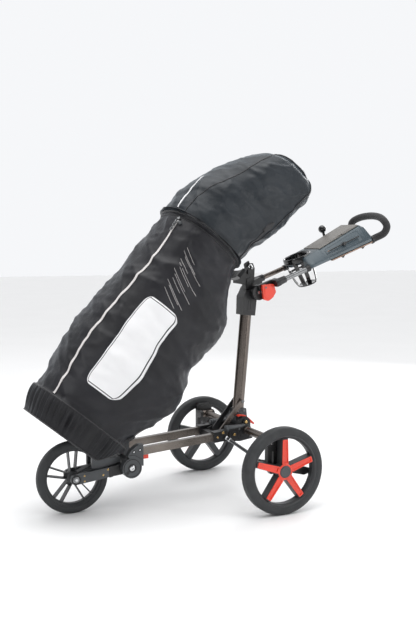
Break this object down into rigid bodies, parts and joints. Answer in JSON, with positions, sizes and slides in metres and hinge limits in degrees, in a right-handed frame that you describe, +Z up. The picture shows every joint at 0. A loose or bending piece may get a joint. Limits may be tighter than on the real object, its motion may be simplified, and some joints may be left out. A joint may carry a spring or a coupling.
{
  "type": "golf push trolley",
  "caption": "Flat-folding three-wheel golf push trolley with a tilting handle, a console, a drinks holder and a covered golf bag on its cradle.",
  "frame": {"origin": "centre of the bounding box's base, on the ground between the wheels", "axes": "+Z up, -Y is the trolley's front, +X its left side"},
  "size_m": [0.666, 1.3406, 1.2241],
  "materials": {
    "titanium_paint": "satin",
    "slate_plastic": "satin",
    "black_plastic": "satin",
    "red_plastic": "satin",
    "rim_plastic": "satin",
    "tyre_foam": "matte",
    "steel": "satin",
    "grip_foam": "matte",
    "lid_plastic": "satin",
    "console_plastic": "satin",
    "cover_cloth": "matte",
    "hood_cloth": "satin"
  },
  "bodies": {
    "frame": {"left_rail": "titanium_paint", "right_rail": "titanium_paint", "hub_casting": "black_plastic", "main_pivot_pin": "steel", "left_axle_tube": "titanium_paint", "right_axle_tube": "titanium_paint", "left_front_knuckle": "slate_plastic", "right_front_knuckle": "slate_plastic", "fork_pivot_shaft": "steel"},
    "upright": {"upright_foot": "slate_plastic", "upright_tube": "titanium_paint", "top_bracket": "black_plastic", "bag_arm": "titanium_paint", "bag_cradle": "black_plastic", "strap_hook": "steel", "handle_pivot_bolt": "steel"},
    "pedal": {"fold_pedal": "red_plastic"},
    "slider": {"slider_yoke": "black_plastic"},
    "stays": {"left_stay": "titanium_paint", "right_stay": "titanium_paint"},
    "left_rod": {"left_link_rod": "steel"},
    "right_rod": {"right_link_rod": "steel"},
    "left_carrier": {"left_wheel_carrier": "black_plastic", "left_stub_axle": "steel"},
    "right_carrier": {"right_wheel_carrier": "black_plastic", "right_stub_axle": "steel"},
    "left_wheel": {"left_tyre": "tyre_foam", "left_rim": "rim_plastic", "left_spoke_liner": "red_plastic", "left_hub_cap": "black_plastic"},
    "right_wheel": {"right_tyre": "tyre_foam", "right_rim": "rim_plastic", "right_spoke_liner": "red_plastic", "right_hub_cap": "black_plastic"},
    "brake": {"brake_lever": "black_plastic"},
    "fork": {"left_fork_arm": "slate_plastic", "right_fork_arm": "slate_plastic", "fork_bridge": "black_plastic", "front_axle": "steel", "bag_rest": "slate_plastic"},
    "front_wheel": {"front_tyre": "tyre_foam", "front_rim": "rim_plastic"},
    "release": {"fork_release": "red_plastic"},
    "handle": {"left_pivot_clamp": "black_plastic", "right_pivot_clamp": "black_plastic", "left_handle_arm": "titanium_paint", "right_handle_arm": "titanium_paint", "console": "console_plastic", "cup_cage": "black_plastic", "grip_loop": "grip_foam", "ball_knob": "black_plastic"},
    "lid": {"console_lid": "lid_plastic"},
    "left_lever": {"left_clamp_lever": "red_plastic"},
    "right_lever": {"right_clamp_lever": "red_plastic"},
    "bag": {"bag_base": "black_plastic", "rain_cover": "cover_cloth", "cover_skirt": "cover_cloth", "rain_hood": "hood_cloth"}
  },
  "joints": [
    {"name": "main_fold", "type": "hinge", "parent": "frame", "child": "upright", "pos_m": [0, 0.09969, 0.258], "axis": [1, 0, 0], "range_deg": [0, 80]},
    {"name": "slider_travel", "type": "slide", "parent": "frame", "child": "slider", "axis": [0, -0.997, -0.0778], "range_m": [0, 0.106]},
    {"name": "stay_swing", "type": "hinge", "parent": "upright", "child": "stays", "pos_m": [0, 0.09769, 0.328], "axis": [1, 0, 0], "range_deg": [-108.5, 0]},
    {"name": "left_rod_swing", "type": "hinge", "parent": "slider", "child": "left_rod", "pos_m": [0.084, 0.00769, 0.216], "axis": [0.3323, -0.393, 0.8574], "range_deg": [0, 48.5]},
    {"name": "right_rod_swing", "type": "hinge", "parent": "slider", "child": "right_rod", "pos_m": [-0.084, 0.00769, 0.216], "axis": [0.3323, 0.393, -0.8574], "range_deg": [0, 48.5]},
    {"name": "left_wheel_fold", "type": "hinge", "parent": "frame", "child": "left_carrier", "pos_m": [0.25, 0.08969, 0.235], "axis": [0, 1, 0], "range_deg": [0, 90.5]},
    {"name": "right_wheel_fold", "type": "hinge", "parent": "frame", "child": "right_carrier", "pos_m": [-0.25, 0.08969, 0.235], "axis": [0, -1, 0], "range_deg": [0, 90.5]},
    {"name": "bag_lift", "type": "slide", "parent": "frame", "child": "bag", "axis": [0, -0.7741, 0.6331], "range_m": [0, 1]},
    {"name": "left_wheel_spin", "type": "hinge", "parent": "left_carrier", "child": "left_wheel", "pos_m": [0.311, 0.09969, 0.145], "axis": [1, 0, 0], "continuous": true},
    {"name": "right_wheel_spin", "type": "hinge", "parent": "right_carrier", "child": "right_wheel", "pos_m": [-0.311, 0.09969, 0.145], "axis": [1, 0, 0], "continuous": true},
    {"name": "front_wheel_spin", "type": "hinge", "parent": "fork", "child": "front_wheel", "pos_m": [0, -0.52031, 0.12], "axis": [1, 0, 0], "continuous": true},
    {"name": "fork_fold", "type": "hinge", "parent": "frame", "child": "fork", "pos_m": [0, -0.33631, 0.145], "axis": [1, 0, 0], "range_deg": [0, 145]},
    {"name": "handle_tilt", "type": "hinge", "parent": "upright", "child": "handle", "pos_m": [0, 0.15269, 0.715], "axis": [1, 0, 0], "range_deg": [-70, 10]},
    {"name": "left_clamp", "type": "hinge", "parent": "handle", "child": "left_lever", "pos_m": [0.0602, 0.14385, 0.73839], "axis": [0, -0.9354, -0.3535], "range_deg": [0, 80]},
    {"name": "right_clamp", "type": "hinge", "parent": "handle", "child": "right_lever", "pos_m": [-0.0602, 0.14385, 0.73839], "axis": [0, 0.9354, 0.3535], "range_deg": [0, 80]},
    {"name": "lid_open", "type": "hinge", "parent": "handle", "child": "lid", "pos_m": [0, 0.56301, 0.95878], "axis": [-1, 0, 0], "range_deg": [0, 70]},
    {"name": "pedal_press", "type": "hinge", "parent": "upright", "child": "pedal", "pos_m": [0, 0.12569, 0.254], "axis": [-1, 0, 0], "range_deg": [0, 12], "stiffness_Nm_per_rad": 1, "springref_deg": -17.19},
    {"name": "brake_press", "type": "hinge", "parent": "left_carrier", "child": "brake", "pos_m": [0.273, 0.12569, 0.141], "axis": [-1, 0, 0], "range_deg": [0, 22]},
    {"name": "fork_unlock", "type": "slide", "parent": "frame", "child": "release", "axis": [0, 1, 0], "range_m": [0, 0.005], "stiffness_N_per_m": 600, "springref_m": -0.002}
  ],
  "couplings": [
    {"joint": "slider_travel", "follows": "main_fold", "m_per_rad": 0.075201},
    {"joint": "stay_swing", "follows": "main_fold", "ratio": -1.3462},
    {"joint": "left_rod_swing", "follows": "main_fold", "ratio": 0.595},
    {"joint": "right_rod_swing", "follows": "main_fold", "ratio": 0.595},
    {"joint": "left_wheel_fold", "follows": "main_fold", "ratio": 1.125},
    {"joint": "right_wheel_fold", "follows": "main_fold", "ratio": 1.125},
    {"joint": "bag_lift", "follows": "main_fold", "m_per_rad": 0.7}
  ]
}
